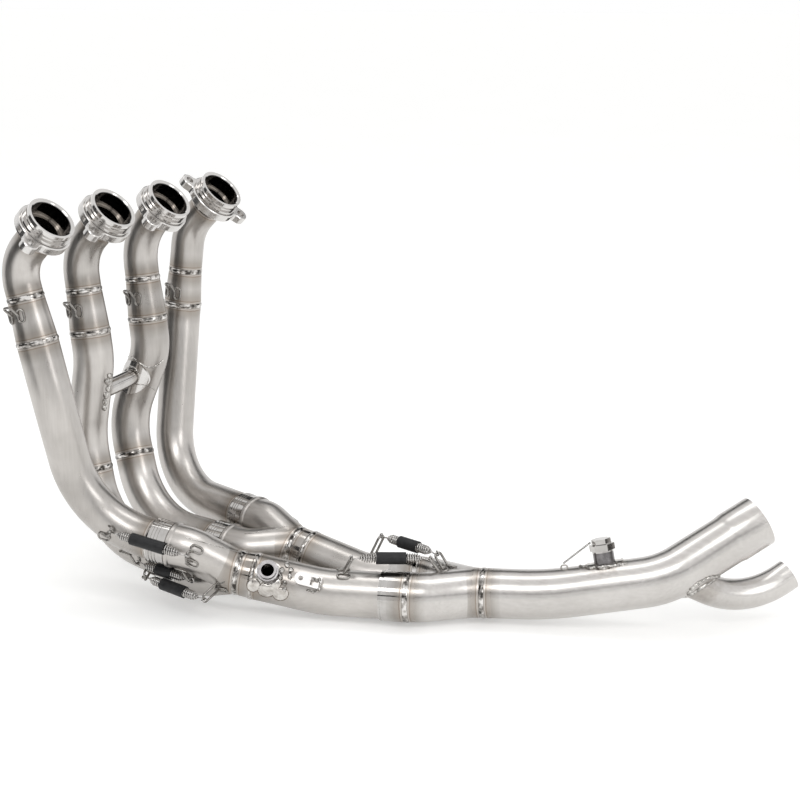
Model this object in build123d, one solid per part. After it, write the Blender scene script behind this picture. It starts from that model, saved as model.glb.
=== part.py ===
from build123d import *

import os
from math import cos, radians, sin, tan

os.makedirs("parts", exist_ok=True)

# Four-into-two-into-one exhaust header of a motorcycle, lengths in millimetres.
# The origin is the middle of the first port's mouth, X runs to the rear,
# Y across the motorcycle from the first port to the fourth, and Z up.

# Gap left wherever one piece is laid or hooked on another
seat_gap = 0.3

# Tubes: one gauge of sheet, each run with its own outer diameter
wall = 1.2
port_tube_diameter = 35.0
primary_diameter = 40.0
leg_diameter = 42.4
merge_outlet_diameter = 42.9
secondary_diameter = 45.0
collector_leg_diameter = 47.4
final_diameter = 48.0
branch_diameter = 30.0
crossover_diameter = 17.0
weld_height = 0.7
weld_half_width = 2.4
weld_root = 0.2
weld_shoulder_height = 0.56
weld_shoulder_width = 1.3

# Ports: spigots that enter the cylinder head, in a row across the motorcycle
port_pitch = 87.0
port_tilt = 44.0
mouth_bore = 40.0
mouth_bore_depth = 17.0
mouth_chamfer = 1.2
lip_diameter = 47.6
lip_length = 3.5
groove_diameter = 44.5
groove_length = 2.5
land_diameter = 47.0
land_length = 3.0
shoulder_diameter = 51.0
shoulder_length = 3.0
ring_body_length = 8.0
neck_length = 6.0

# Port flanges: loose two-bolt flanges behind the spigots' shoulders
flange_diameter = 55.0
flange_thickness = 9.0
flange_bore_clearance = 0.5
bolt_pitch = 65.0
bolt_hole_diameter = 8.0
ear_radius = 8.0
waist_radius = 5.0
flange_edge = 0.8
pocket_width = 5.0
pocket_depth = 3.0
pocket_length = 6.0
pocket_angles = (35, 145, 215, 325)
ear_turns = (24.8, 24.8, 24.8, 126.2)

# Slip joints: a turned collar welded to each primary slides into a merge's leg
collar_length = 18.0
collar_diameter = 43.2
collar_groove_depth = 0.5
collar_groove_width = 1.2
collar_groove_pitch = 3.2
slip_depth = 9.0
slip_clearance = 0.15
slip_gap = 1.5
rim_height = 1.3
rim_length = 3.0

# Collector inlets: turned sockets that the secondaries slide into
socket_diameter = 48.6
socket_length = 26.0
socket_depth = 20.0
socket_groove_depth = 0.4
socket_groove_place = 2.0
socket_groove_width = 2.0

# Springs and the wire hooks that hold them
spring_wire = 1.6
spring_coil_diameter = 9.4
spring_turn_pitch = 2.3
spring_shank = 13.0
spring_taper = 6.0
spring_eye_length = 5.0
sleeve_diameter = 11.8
sleeve_clearance = 0.2
sleeve_bare_coil = 10.0
hook_wire = 2.4
hook_width = 9.0
hook_corner = 3.0
hook_reach = 9.0
ear_wire = 2.0
ear_length = 12.0
ear_width = 6.5
ear_lift = 0.6

# Threaded bosses and their fittings
sensor_bore = 12.5
sensor_boss_diameter = 21.0
sensor_boss_height = 9.5
sensor_face_diameter = 17.0
sensor_face_height = 2.0
plug_bore = 12.0
plug_boss_diameter = 20.0
plug_boss_height = 10.5
plug_flange_across = 21.0
plug_flange_height = 6.0
plug_head_across = 16.0
plug_head_height = 5.0
plug_thread_length = 11.0
plug_thread_clearance = 0.1
washer_diameter = 20.5
washer_thickness = 1.5
pad_thickness = 1.2
pad_lobe_radius = 6.0
sensor_pad_reach = 12.5
sensor_lobes = (-125, -85, -45)
plug_pad_reach = 13.0
plug_lobes = (-20, 30, 90, 150, 200)

# Slotted tab beside the sensor boss, and the plug's lock wire
tab_width = 12.0
tab_length = 20.0
tab_thickness = 2.2
tab_height = 30.0
tab_lean = 10.0
tab_hole = 4.6
tab_slot_place = 13.5
tab_slot_length = 7.5
tab_slot_width = 8.0
lock_wire_diameter = 1.0
lock_wire_turns = 9
anchor_width = 6.0
anchor_height = 3.0
anchor_wire = 1.5
lock_wire_gap = 0.2

# Routes of the tubes: corner points and the bend radius at each corner
port_run = (66.0, 67.0, 62.0, 63.0)
port_bend = (40.0, 50.0, 60.0, 50.0)
primary_corners = (
    ((-14, 5, -181), (-1, 27, -301)),
    ((-34, 87, -155), (-48, 85, -235), (-24, 79, -330)),
    ((-32, 174, -161), (-59, 162, -235), (-22, 146, -339)),
    ((-54.4, 254.7, -139), (-43, 212, -321.5)),
)
primary_bends = (
    (280, 90),
    (90, 100, 80),
    (70, 80, 85),
    (60, 76),
)
leg_mouths = ((90, 47, -315.5), (86, 76, -350), (92, 137, -343), (92, 180.5, -326))
leg_leads = (20.7, 18.3, 22.1, 18.5)
leg_bend = 28.0
first_weld = (33.0, 38.0, 42.0, 46.0)
second_weld = (76.0, 80.0, 84.0, 83.0)
third_weld = (None, 34.0, 39.0, None)

near_merge_end = Vector(144, 80.6, -344.8)
near_secondary_corner = Vector(222, 110.5, -359.4)
near_secondary_bend = 150.0
near_socket_start = Vector(275, 130, -359)
far_merge_end = Vector(155, 163, -342.5)
far_secondary_corner = Vector(234.7, 167.6, -360)
far_secondary_bend = 80.0
far_socket_start = Vector(258.2, 176.2, -360)
merge_throat = 4.0
knuckle_swell = 0.2
reducer_length = 15.0

collector_heading = 20.0
collector_lead = 9.0
collector_bend = 40.0
collector_throat = 8.0
collector_end = Vector(357, 184, -358.5)
final_corners = (Vector(415, 205.4, -356.5), Vector(517.3, 242.6, -333.6))
final_bends = (300, 75)
final_end = Vector(582, 314, -285)
expanded_diameter = 50.0
expanded_length = 30.0
expansion_length = 6.0
branch_start = Vector(527, 254, -332)
branch_corner = Vector(574.8, 306.5, -368.7)
branch_end = Vector(606, 341, -343)
branch_bend = 85.0

# Heights of the crossover's ends on the second and third primaries
crossover_heights = (-193.0, -184.0)
crossover_primaries = (1, 2)
saddle_radius = 17.0
saddle_thickness = 1.3

# Places along the tubes, and clock angles from the top towards the near side
sensor_place = 31.0
sensor_clock = 52.0
tab_place = 63.5
tab_clock = 53.0
plug_place = 58.5
plug_clock = -9.0
anchor_place = 20.0
anchor_clock = -4.0
upper_hook_place = (38.0, 47.0, 52.0, 60.0)
upper_hook_heading = -95.0
upper_hook_height = 6.0
upper_hook_back = 10.0

# Springs: the two bars that hold each one, and the way out from its tube
spring_lines = (
    ((44, 9.3, -299.5), (123, 25, -314), (0, -0.9, 0.4)),
    ((48, 44, -341), (112, 45.5, -347.6), (0, 0, -1)),
    ((60, 38, -351.5), (134, 35, -359.2), (0, -1, -0.3)),
    ((42, 141, -372), (118, 140, -373), (0, 0, -1)),
    ((52, 221, -324.4), (128, 200, -331), (0, 1, 0)),
    ((249.7, 116.8, -321.7), (312, 158, -323.5), (0, 0, 1)),
    ((244.9, 180.4, -319.4), (313, 170, -322), (0, 0, 1)),
)
spring_runs = (
    ("primary_1", "leg_1"),
    ("primary_1", "mouth_1"),
    ("primary_2", "near_outlet"),
    ("primary_3", "leg_3"),
    ("primary_4", "leg_4"),
    ("near_secondary", "collector"),
    ("far_secondary", "collector"),
)
spring_end_ways = (1, -1, 1, 1, 1, 1, 1)

collector_axis = Vector(cos(radians(collector_heading)), sin(radians(collector_heading)), 0)
port_axis = Vector(cos(radians(port_tilt)), 0, sin(radians(port_tilt)))
floor = (Align.CENTER, Align.CENTER, Align.MIN)
ceiling = (Align.CENTER, Align.CENTER, Align.MAX)


def unit(start, end):
    return (Vector(end) - Vector(start)).normalized()


def along(start, end, distance):
    return Vector(start) + unit(start, end) * distance


def fitted_bends(points, bends):
    """Bend radii, each small enough for the straight runs on its two sides."""
    runs = [(Vector(b) - Vector(a)).length for a, b in zip(points, points[1:])]
    turns = [unit(a, b).get_angle(unit(b, c)) for a, b, c in zip(points, points[1:], points[2:])]
    tangents = [0] + [bend * tan(radians(turn / 2)) for bend, turn in zip(bends, turns)] + [0]
    shares = [min(1, 0.98 * run / (a + b)) for run, a, b in zip(runs, tangents, tangents[1:])]
    return [bend * min(a, b) for bend, a, b in zip(bends, shares, shares[1:])]


def route(points, bends):
    """Tube centre line: straight runs joined by tangent arcs."""
    if len(points) == 2:
        return Wire([Line(*points).edge()])
    return Wire(FilletPolyline(*points, radius=fitted_bends(points, bends)).edges())


def rod(points, bends, diameter):
    line = route(points, bends)
    section = Plane(line @ 0, z_dir=line % 0) * Circle(diameter / 2)
    return sweep(section, path=line)


def tube(points, bends, diameter):
    return rod(points, bends, diameter) - rod(points, bends, diameter - 2 * wall)


def turned(outline, place, axis):
    """Body of revolution from an outline of radius and height."""
    profile = Plane.XZ * make_face(Polyline(*outline, close=True))
    return Plane(place, z_dir=axis) * revolve(profile, Axis.Z)


def weld_edge(place, axis, diameter):
    """Half of a weld bead, raised on the end of the tube that runs off along the axis."""
    radius = diameter / 2
    outline = (
        (radius - wall / 2, 0),
        (radius + weld_height, 0),
        (radius + weld_shoulder_height, weld_shoulder_width),
        (radius - weld_root, weld_half_width),
        (radius - wall / 2, weld_half_width),
    )
    return turned(outline, place, axis)


def clock_plane(point, axis, clock):
    """Plane on a tube's centre line whose normal leaves the tube at a clock angle."""
    axis = Vector(axis).normalized()
    up = (Vector(0, 0, 1) - axis * axis.Z).normalized()
    side = axis.cross(up)
    out = up * cos(radians(clock)) + side * sin(radians(clock))
    return Plane(point, x_dir=axis, z_dir=out)


def save(node, shape):
    export_step(Compound(label=node, children=shape.solids()), f"parts/{node}.step")


# Ports


def port_ring(number):
    bore = mouth_bore / 2
    tube_bore = port_tube_diameter / 2 - wall
    lip_end = lip_length
    groove_end = lip_end + groove_length
    land_end = groove_end + land_length
    shoulder_end = land_end + shoulder_length
    body_end = shoulder_end + ring_body_length
    outline = (
        (bore + mouth_chamfer, 0),
        (lip_diameter / 2, 0),
        (lip_diameter / 2, lip_end),
        (groove_diameter / 2, lip_end),
        (groove_diameter / 2, groove_end),
        (land_diameter / 2, groove_end),
        (land_diameter / 2, land_end),
        (shoulder_diameter / 2, land_end),
        (shoulder_diameter / 2, shoulder_end),
        (groove_diameter / 2, shoulder_end),
        (groove_diameter / 2, body_end),
        (port_tube_diameter / 2, body_end + neck_length),
        (tube_bore, body_end + neck_length),
        (tube_bore, mouth_bore_depth),
        (bore, mouth_bore_depth),
        (bore, mouth_chamfer),
    )
    return turned(outline, port_mouth(number), -port_axis)


def port_flange(number):
    front = lip_length + groove_length + land_length + shoulder_length + seat_gap
    turn = radians(ear_turns[number])
    fall = Vector(sin(radians(port_tilt)), 0, -cos(radians(port_tilt)))
    ear_line = Vector(0, -1, 0) * cos(turn) + fall * sin(turn)
    origin = port_mouth(number) - port_axis * front
    ears = Sketch() + [Pos(side * bolt_pitch / 2, 0) * Circle(ear_radius) for side in (-1, 1)]
    plate = Circle(flange_diameter / 2) + ears + Rectangle(bolt_pitch, 2 * ear_radius)
    waists = [v for v in plate.vertices() if abs(v.X) < flange_diameter / 2 and abs(v.Y) < ear_radius + 0.1]
    plate = fillet(waists, waist_radius)
    plate -= Circle(groove_diameter / 2 + flange_bore_clearance)
    plate -= [Pos(side * bolt_pitch / 2, 0) * Circle(bolt_hole_diameter / 2) for side in (-1, 1)]
    body = extrude(plate, flange_thickness)
    rims = body.faces().filter_by(Axis.Z).edges().filter_by(lambda e: e.length > flange_diameter)
    body = chamfer(rims, flange_edge)
    pocket = Box(pocket_depth * 2, pocket_length, pocket_width)
    for angle in pocket_angles:
        body -= Rot(0, 0, angle) * Pos(flange_diameter / 2, 0, flange_thickness / 2) * pocket
    return Plane(origin, x_dir=ear_line, z_dir=-port_axis) * body


# Primaries


def port_mouth(number):
    return Vector(0, port_pitch * number, 0)


def corner_points(number):
    """Corners of a primary's centre line, the first on the port's axis."""
    first = port_mouth(number) - port_axis * port_run[number]
    return [first] + [Vector(*corner) for corner in primary_corners[number]]


def leg_mouth(number):
    return Vector(*leg_mouths[number])


def ring_end():
    return lip_length + groove_length + land_length + shoulder_length + ring_body_length + neck_length


def top_bend(number):
    corners = corner_points(number)
    start = port_mouth(number) - port_axis * ring_end()
    weld = along(corners[0], corners[1], first_weld[number])
    body = tube([start, corners[0], weld], [port_bend[number]], port_tube_diameter)
    body += weld_edge(weld, unit(weld, corners[0]), port_tube_diameter)
    return body + weld_edge(start, -port_axis, port_tube_diameter)


def step_cone(number):
    corners = corner_points(number)
    start = along(corners[0], corners[1], first_weld[number])
    finish = along(corners[0], corners[1], second_weld[number])
    length = second_weld[number] - first_weld[number]
    small = port_tube_diameter / 2
    large = primary_diameter / 2
    outline = ((small - wall, 0), (small, 0), (large, length), (large - wall, length))
    body = turned(outline, start, unit(start, finish))
    body += weld_edge(start, unit(start, finish), port_tube_diameter)
    return body + weld_edge(finish, unit(finish, start), primary_diameter)


def collar_start(number):
    return along(leg_mouth(number), corner_points(number)[-1], slip_gap + collar_length)


def primary_stations(number):
    """Centre line of a primary below its cone, with the place of its third weld."""
    corners = corner_points(number)
    start = along(corners[0], corners[1], second_weld[number])
    points = [start] + corners[1:] + [collar_start(number)]
    if third_weld[number] is None:
        return points, None
    return points, along(corners[2], corners[3], third_weld[number])


def down_tube(number):
    points, weld = primary_stations(number)
    bends = list(primary_bends[number])
    if weld is not None:
        points = points[:3] + [weld]
        bends = bends[:2]
    body = tube(points, bends, primary_diameter)
    if number in crossover_primaries:
        body -= rod(crossover_ends(), [], crossover_diameter - 2 * wall)
    body += weld_edge(points[0], unit(points[0], points[1]), primary_diameter)
    return body + weld_edge(points[-1], unit(points[-1], points[-2]), primary_diameter)


def lower_bend(number):
    points, weld = primary_stations(number)
    points = [weld] + points[3:]
    body = tube(points, primary_bends[number][2:], primary_diameter)
    body += weld_edge(points[0], unit(points[0], points[1]), primary_diameter)
    return body + weld_edge(points[-1], unit(points[-1], points[-2]), primary_diameter)


def slip_collar(number):
    bore = primary_diameter / 2 - wall
    spigot = leg_diameter / 2 - wall - slip_clearance
    outer = collar_diameter / 2
    outline = [(bore, 0), (outer, 0)]
    for turn in (1, 2, 3):
        edge = turn * collar_groove_pitch
        outline.append((outer, edge))
        outline.append((outer - collar_groove_depth, edge))
        outline.append((outer - collar_groove_depth, edge + collar_groove_width))
        outline.append((outer, edge + collar_groove_width))
    outline.append((outer, collar_length))
    outline.append((spigot, collar_length))
    outline.append((spigot, collar_length + slip_gap + slip_depth))
    outline.append((bore, collar_length + slip_gap + slip_depth))
    start = collar_start(number)
    return turned(outline, start, unit(start, leg_mouth(number)))


# Crossover between the second and third primaries


def primary_axis_at(number, height):
    corners = corner_points(number)
    share = (height - corners[1].Z) / (corners[2].Z - corners[1].Z)
    return corners[1] + (corners[2] - corners[1]) * share


def crossover_ends():
    return [primary_axis_at(*place) for place in zip(crossover_primaries, crossover_heights)]


def run_rod(number, diameter):
    return rod(corner_points(number)[1:3], [], diameter)


def crossover_tube():
    body = tube(crossover_ends(), [], crossover_diameter)
    for number in crossover_primaries:
        body -= run_rod(number, primary_diameter)
    return body


def crossover_saddle():
    near, far = crossover_ends()
    carrier = crossover_primaries[1]
    shell = run_rod(carrier, primary_diameter + 2 * saddle_thickness)
    shell -= run_rod(carrier, primary_diameter)
    body = shell & rod([far, near], [], 2 * saddle_radius)
    return body - rod([far, near], [], crossover_diameter)


# Merges: two legs that flow into one outlet


def merge_solid(legs, bend, diameter, throat, end, outlet_diameter, inset):
    """Two bent legs that meet an outlet in a round knuckle, thinner all round by an inset."""
    first, second = [rod(points + [throat], [bend], diameter - 2 * inset) for points in legs]
    knuckle = Plane(throat, z_dir=end - throat) * Sphere(outlet_diameter / 2 + knuckle_swell - inset)
    return first + second + knuckle + rod([throat, end], [], outlet_diameter - 2 * inset)


def merge_core(parts):
    """Outside of a merge, cut off square where the outlet ends."""
    flow = unit(parts["throat"], parts["end"])
    reach = parts["outlet_diameter"]
    beyond = rod([parts["end"], parts["end"] + flow * reach], [], 2 * reach)
    return merge_solid(**parts, inset=0) - beyond


def merge(parts):
    return merge_core(parts) - merge_solid(**parts, inset=wall)


def pair_merge(first, end, corner):
    """Legs, bend, diameters and outlet of the merge of two neighbouring primaries."""
    legs = []
    for number in (first, first + 1):
        mouth = leg_mouth(number)
        legs.append([mouth, mouth + unit(corner_points(number)[-1], mouth) * leg_leads[number]])
    return {
        "legs": legs,
        "bend": leg_bend,
        "diameter": leg_diameter,
        "throat": end - unit(end, corner) * merge_throat,
        "end": end,
        "outlet_diameter": merge_outlet_diameter,
    }


def two_leg_merge(first, end, corner):
    """Merge of two neighbouring primaries, with a rolled rim on each mouth."""
    parts = pair_merge(first, end, corner)
    body = merge(parts)
    hole = leg_diameter / 2 - wall / 2
    rim = leg_diameter / 2 + rim_height
    rim_end = rim_length + rim_height
    outline = ((hole, 0), (rim, 0), (rim, rim_length), (leg_diameter / 2, rim_end), (hole, rim_end))
    for points in parts["legs"]:
        body += turned(outline, points[0], unit(*points))
    return body + weld_edge(end, unit(corner, end), merge_outlet_diameter)


def reducer(start, corner):
    flow = unit(start, corner)
    small = merge_outlet_diameter / 2
    large = secondary_diameter / 2
    outline = ((small - wall, 0), (small, 0), (large, reducer_length), (large - wall, reducer_length))
    body = turned(outline, start, flow)
    body += weld_edge(start, flow, merge_outlet_diameter)
    return body + weld_edge(start + flow * reducer_length, -flow, secondary_diameter)


def secondary_points(start, corner, socket):
    first = start + unit(start, corner) * reducer_length
    last = socket + collector_axis * (socket_depth - seat_gap)
    return [first, corner, last]


def near_secondary():
    points = secondary_points(near_merge_end, near_secondary_corner, near_socket_start)
    body = tube(points, [near_secondary_bend], secondary_diameter)
    body += weld_edge(points[0], unit(*points[:2]), secondary_diameter)
    hole = Cylinder(sensor_bore / 2, secondary_diameter, align=floor)
    return body - sensor_plane() * hole


def far_secondary():
    points = secondary_points(far_merge_end, far_secondary_corner, far_socket_start)
    body = tube(points, [far_secondary_bend], secondary_diameter)
    return body + weld_edge(points[0], unit(*points[:2]), secondary_diameter)


# Collector and final pipe


def inlet_socket(start):
    outer = socket_diameter / 2
    seat = secondary_diameter / 2 + slip_clearance
    bore = collector_leg_diameter / 2 - wall
    groove = outer - socket_groove_depth
    groove_end = socket_groove_place + socket_groove_width
    outline = (
        (seat, 0),
        (outer, 0),
        (outer, socket_groove_place),
        (groove, socket_groove_place),
        (groove, groove_end),
        (outer, groove_end),
        (outer, socket_length),
        (bore, socket_length),
        (bore, socket_depth),
        (seat, socket_depth),
    )
    return turned(outline, start, collector_axis)


def collector_merge():
    legs = []
    for socket in (near_socket_start, far_socket_start):
        start = socket + collector_axis * socket_length
        legs.append([start, start + collector_axis * collector_lead])
    return {
        "legs": legs,
        "bend": collector_bend,
        "diameter": collector_leg_diameter,
        "throat": collector_end - unit(collector_end, final_corners[0]) * collector_throat,
        "end": collector_end,
        "outlet_diameter": final_diameter,
    }


def collector():
    parts = collector_merge()
    body = merge(parts)
    for points in parts["legs"]:
        body += weld_edge(points[0], collector_axis, collector_leg_diameter)
    return body + weld_edge(collector_end, unit(final_corners[0], collector_end), final_diameter)


def final_points():
    return [collector_end, final_corners[0], final_corners[1], final_end]


def branch_points():
    return [branch_start, branch_corner, branch_end]


def final_pipe():
    points = final_points()
    spread = expanded_length + expansion_length
    points[-1] = along(final_end, final_corners[1], spread)
    inner = rod(points, final_bends, final_diameter - 2 * wall)
    body = rod(points, final_bends, final_diameter) - inner
    small = final_diameter / 2
    large = expanded_diameter / 2
    outline = (
        (small - wall, 0),
        (small, 0),
        (large, expansion_length),
        (large, spread),
        (large - wall, spread),
        (large - wall, expansion_length),
    )
    body += turned(outline, points[-1], unit(final_corners[1], final_end))
    body -= rod(branch_points(), [branch_bend], branch_diameter - 2 * wall)
    body -= plug_plane() * Cylinder(plug_bore / 2, final_diameter, align=floor)
    return body + weld_edge(collector_end, unit(*points[:2]), final_diameter)


def branch_pipe():
    body = tube(branch_points(), [branch_bend], branch_diameter)
    return body - rod(final_points(), final_bends, final_diameter)


# Springs: wound coil with a shank and a hooked end at each side


def spring_place(number):
    """Ends of a spring and the direction of the bars that hold it."""
    start, end, out = spring_lines[number]
    start = Vector(*start)
    end = Vector(*end)
    bar = unit(start, end).cross(Vector(*out)).normalized()
    return start, end, bar


def spring(number):
    """Close-wound coil, its turns drawn as rings, with a hooked shank at each end."""
    start, end, bar = spring_place(number)
    length = (end - start).length
    turns = round((length - 2 * spring_shank) / spring_turn_pitch)
    coil_start = (length - turns * spring_turn_pitch) / 2
    mean = (spring_coil_diameter - spring_wire) / 2
    inner = mean - spring_wire / 2
    crest = spring_coil_diameter / 2
    edges = [Line((inner, coil_start), (mean, coil_start))]
    for turn in range(turns):
        low = coil_start + turn * spring_turn_pitch
        middle = low + spring_turn_pitch / 2
        edges.append(ThreePointArc((mean, low), (crest, middle), (mean, low + spring_turn_pitch)))
    edges.append(Line((mean, length - coil_start), (inner, length - coil_start)))
    edges.append(Line((inner, length - coil_start), (inner, coil_start)))
    body = revolve(Plane.XZ * make_face(Wire([part.edge() for part in edges])), Axis.Z)
    hook = (spring_wire + hook_wire) / 2 + seat_gap
    for flip, base in ((1, 0), (-1, length)):
        points = [
            Vector(mean, 0, base + flip * (coil_start + spring_wire)),
            Vector(mean, 0, base + flip * (coil_start - spring_wire)),
            Vector(0, 0, base + flip * (coil_start - spring_taper)),
            Vector(0, 0, base + flip * spring_eye_length),
            Vector(0, hook, base + flip * hook),
            Vector(0, hook, base - flip * hook),
            Vector(0, -hook, base - flip * hook),
            Vector(0, -hook, base + flip * hook / 2),
        ]
        body += rod(points, [spring_wire] * 3 + [hook] * 3, spring_wire)
    return Plane(start, x_dir=bar, z_dir=end - start) * body


def spring_sleeve(number):
    start, end, bar = spring_place(number)
    bare = spring_shank + sleeve_bare_coil
    length = (end - start).length - 2 * bare
    outer = sleeve_diameter / 2
    inner = spring_coil_diameter / 2 + sleeve_clearance
    outline = ((inner, 0), (outer, 0), (outer, length), (inner, length))
    return turned(outline, along(start, end, bare), unit(start, end))


# Wire hooks: a raised bar on two legs, with two flat loops as its feet


def wire_loop(place, length, width, wire):
    line = (place * SlotOverall(length, width)).face().outer_wire()
    return sweep(Plane(line @ 0, z_dir=line % 0) * Circle(wire / 2), path=line)


def wire_hook(run_start, run_end, diameter, eye, bar, back, core):
    """Hook on a straight tube, with its bar at the eye and its feet behind."""
    axis = unit(run_start, run_end)
    foot = run_start + axis * (eye - run_start).dot(axis)
    out = (eye - foot).normalized()
    base = foot + axis * back
    half = bar * (hook_width / 2)
    low = base + out * (diameter / 2 - wall)
    body = rod([low + half, eye + half, eye - half, low - half], [hook_corner] * 2, hook_wire)
    for side in (1, -1):
        sideways = bar * (side * (hook_width + ear_width) / 2)
        reach = (out * (diameter / 2) + sideways).normalized()
        place = Plane(base + reach * (diameter / 2 + ear_lift), x_dir=axis, z_dir=reach)
        body += wire_loop(place, ear_length, ear_width, ear_wire)
    return body - core


def spring_hooks():
    runs = tube_runs()
    hooks = []
    for number, (first, second) in enumerate(spring_runs):
        start, end, bar = spring_place(number)
        for eye, run, way in ((start, first, -1), (end, second, spring_end_ways[number])):
            run_start, run_end, diameter, core = runs[run]
            hooks.append(wire_hook(run_start, run_end, diameter, eye, bar, way * hook_reach, core))
    return Compound(children=[solid for hook in hooks for solid in hook.solids()])


def step_core(number):
    corners = corner_points(number)
    start = along(corners[0], corners[1], first_weld[number])
    length = second_weld[number] - first_weld[number]
    outline = ((0, 0), (port_tube_diameter / 2, 0), (primary_diameter / 2, length), (0, length))
    return turned(outline, start, unit(corners[0], corners[1]))


def upper_hooks():
    """Hooks of a heat shield, one on each primary's step cone."""
    hooks = []
    for number in range(4):
        corners = corner_points(number)
        place = along(corners[0], corners[1], upper_hook_place[number])
        flow = unit(corners[0], corners[1])
        heading = radians(upper_hook_heading)
        out = Vector(cos(heading), sin(heading), 0)
        out = (out - flow * out.dot(flow)).normalized()
        eye = place + out * (primary_diameter / 2 + upper_hook_height)
        bar = flow.cross(out)
        core = step_core(number)
        diameter = (port_tube_diameter + primary_diameter) / 2
        hooks.append(wire_hook(corners[0], corners[1], diameter, eye, bar, upper_hook_back, core))
    return Compound(children=[solid for hook in hooks for solid in hook.solids()])


def tube_runs():
    """Stretches that carry spring hooks: start, end, outer diameter and outside."""
    runs = {}
    merges = [
        pair_merge(0, near_merge_end, near_secondary_corner),
        pair_merge(2, far_merge_end, far_secondary_corner),
    ]
    cores = [merge_core(parts) for parts in merges]
    for number in range(4):
        points = primary_stations(number)[0]
        core = rod(points, primary_bends[number], primary_diameter)
        runs[f"primary_{number + 1}"] = (points[-2], leg_mouth(number), primary_diameter, core)
        parts = merges[number // 2]
        corner = parts["legs"][number % 2][1]
        runs[f"leg_{number + 1}"] = (corner, parts["throat"], leg_diameter, cores[number // 2])
    runs["mouth_1"] = (*merges[0]["legs"][0], leg_diameter, cores[0])
    runs["near_outlet"] = (merges[0]["throat"], near_merge_end, merge_outlet_diameter, cores[0])
    runs["near_secondary"] = (near_secondary_corner, near_socket_start, secondary_diameter,
                              near_secondary_core(secondary_diameter))
    runs["far_secondary"] = (far_secondary_corner, far_socket_start, secondary_diameter,
                             far_secondary_core(secondary_diameter))
    middle = (near_socket_start + far_socket_start) / 2
    runs["collector"] = (middle, collector_end, collector_leg_diameter, merge_core(collector_merge()))
    return runs


# Threaded bosses, their pads and the plug


def sensor_plane():
    flow = unit(near_merge_end, near_secondary_corner)
    return clock_plane(near_merge_end + flow * sensor_place, flow, sensor_clock)


def sensor_boss():
    radius = secondary_diameter / 2
    body = Cylinder(sensor_boss_diameter / 2, radius + sensor_boss_height, align=floor)
    step = Cylinder(sensor_boss_diameter, sensor_face_height, align=floor)
    step -= Cylinder(sensor_face_diameter / 2, sensor_face_height, align=floor)
    body -= Pos(0, 0, radius + sensor_boss_height - sensor_face_height) * step
    body -= Cylinder(sensor_bore / 2, 2 * radius + sensor_boss_height, align=floor)
    body = sensor_plane() * body
    return body - near_secondary_core(secondary_diameter)


def near_secondary_core(diameter):
    points = secondary_points(near_merge_end, near_secondary_corner, near_socket_start)
    return rod(points, [near_secondary_bend], diameter)


def far_secondary_core(diameter):
    points = secondary_points(far_merge_end, far_secondary_corner, far_socket_start)
    return rod(points, [far_secondary_bend], diameter)


def weld_pad(place, lobes, reach, hole, shell):
    """Thin scalloped pad that wraps the tube round a boss."""
    tall = secondary_diameter
    shape = Cylinder(reach, tall, align=floor)
    for angle in lobes:
        shape += Rot(0, 0, angle) * Pos(reach, 0, 0) * Cylinder(pad_lobe_radius, tall, align=floor)
    shape -= Cylinder(hole / 2, tall, align=floor)
    return (place * shape) & shell


def sensor_pad():
    shell = near_secondary_core(secondary_diameter + 2 * pad_thickness)
    shell -= near_secondary_core(secondary_diameter)
    return weld_pad(sensor_plane(), sensor_lobes, sensor_pad_reach, sensor_boss_diameter, shell)


def tab_bracket():
    flow = unit(near_merge_end, near_secondary_corner)
    place = clock_plane(near_merge_end + flow * tab_place, flow, tab_clock)
    plate = Circle(tab_width / 2) + Pos(tab_length / 2, 0) * Rectangle(tab_length, tab_width)
    plate -= Circle(tab_hole / 2)
    plate -= Pos(tab_slot_place, 0) * Rectangle(tab_slot_length, tab_slot_width)
    body = extrude(plate, tab_thickness)
    body = Pos(0, 0, tab_height) * Rot(0, tab_lean, 0) * body
    foot_height = tab_height - tab_length * sin(radians(tab_lean))
    foot = Box(tab_thickness, tab_width, foot_height + tab_thickness / 2, align=floor)
    body += Pos(tab_length - tab_thickness / 2, 0, 0) * foot
    body = place * body
    return body - near_secondary_core(secondary_diameter)


def plug_plane():
    first, second = final_corners
    return clock_plane(along(first, second, plug_place), unit(first, second), plug_clock)


def final_core(diameter):
    return rod(final_points(), final_bends, diameter)


def plug_boss():
    radius = final_diameter / 2
    body = Cylinder(plug_boss_diameter / 2, radius + plug_boss_height, align=floor)
    body -= Cylinder(plug_bore / 2, radius + plug_boss_height, align=floor)
    return plug_plane() * body - final_core(final_diameter)


def plug_pad():
    shell = final_core(final_diameter + 2 * pad_thickness) - final_core(final_diameter)
    return weld_pad(plug_plane(), plug_lobes, plug_pad_reach, plug_boss_diameter, shell)


def plug_seat():
    return final_diameter / 2 + plug_boss_height


def plug_washer():
    body = Cylinder(washer_diameter / 2, washer_thickness, align=floor)
    body -= Cylinder(plug_bore / 2, washer_thickness, align=floor)
    return plug_plane() * Pos(0, 0, plug_seat()) * body


def boss_plug():
    under = plug_seat() + washer_thickness
    flange = extrude(RegularPolygon(plug_flange_across / 2, 6, major_radius=False), plug_flange_height)
    head = extrude(RegularPolygon(plug_head_across / 2, 6, major_radius=False), plug_head_height)
    thread = Cylinder(plug_bore / 2 - plug_thread_clearance, plug_thread_length, align=ceiling)
    body = flange + Pos(0, 0, plug_flange_height) * head + thread
    return plug_plane() * Pos(0, 0, under) * body


def wire_anchor_plane():
    first, second = final_corners
    return clock_plane(along(first, second, anchor_place), unit(first, second), anchor_clock)


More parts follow.
